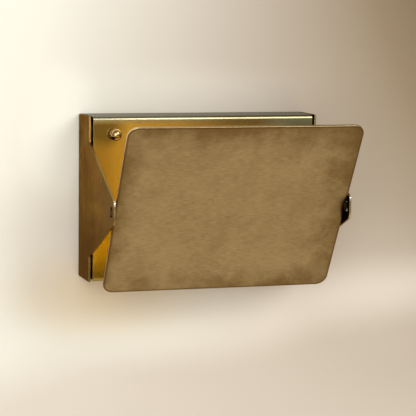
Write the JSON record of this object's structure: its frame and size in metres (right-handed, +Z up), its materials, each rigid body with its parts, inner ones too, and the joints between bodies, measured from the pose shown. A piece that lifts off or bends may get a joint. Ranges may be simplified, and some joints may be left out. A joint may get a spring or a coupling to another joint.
{
  "type": "wall light",
  "caption": "Brass wall light: shallow box with two triangular wings that hold a tilting rectangular flap in front of a bulb.",
  "frame": {"origin": "middle of the wall face, halfway between the two wall screws", "axes": "+X to the right seen from the front, +Y into the wall, +Z up; the light stands out along -Y"},
  "size_m": [0.18, 0.1385, 0.1273],
  "materials": {
    "aged_brass": "dark patina over brushed brass",
    "bright_brass": "glossy brass, patinated grey on top",
    "brushed_brass": "brushed, mottled patina",
    "polished_brass": "polished",
    "plain_brass": "turned, uncoated",
    "solder": "dull grey solder",
    "zinc_steel": "zinc plated",
    "cap_aluminium": "rolled",
    "dark_bakelite": "moulded, semi-gloss",
    "white_ceramic": "unglazed",
    "clear_glass": "clear",
    "black_glass": "glossy",
    "tungsten": "dark wire",
    "white_plastic": "moulded, satin",
    "black_rubber": "matte",
    "brown_insulation": "satin",
    "blue_insulation": "satin",
    "green_insulation": "green with yellow stripes"
  },
  "bodies": {
    "wall_body": {"wing_bracket": "aged_brass", "cover": "bright_brass", "ball_nuts": "polished_brass", "cover_studs": "plain_brass", "terminal_tubes": "plain_brass", "thread_sleeve": "plain_brass", "centre_contact": "plain_brass", "holder_terminals": "plain_brass", "threaded_nipple": "plain_brass", "nipple_nut": "plain_brass", "bulb_tip": "solder", "lampholder_bracket": "zinc_steel", "bracket_screws": "zinc_steel", "bracket_nuts": "zinc_steel", "terminal_screws": "zinc_steel", "block_screw": "zinc_steel", "holder_terminal_screws": "zinc_steel", "earth_stud": "zinc_steel", "earth_lug": "zinc_steel", "earth_washer": "zinc_steel", "earth_nut": "zinc_steel", "bulb_cap": "cap_aluminium", "holder_cap": "dark_bakelite", "holder_shell": "dark_bakelite", "holder_insert": "white_ceramic", "bulb_glass": "clear_glass", "bulb_stem": "clear_glass", "bulb_insulator": "black_glass", "filament": "tungsten", "terminal_block": "white_plastic", "inlet_bush": "black_rubber", "lead_bush": "black_rubber", "live_lead": "brown_insulation", "neutral_lead": "blue_insulation", "earth_lead": "green_insulation"},
    "flap": {"flap": "brushed_brass"}
  },
  "joints": [
    {"name": "flap_tilt", "type": "hinge", "parent": "wall_body", "child": "flap", "pos_m": [0, -0.1018, -0.001], "axis": [1, 0, 0], "range_deg": [-63.7, 4.3]}
  ]
}
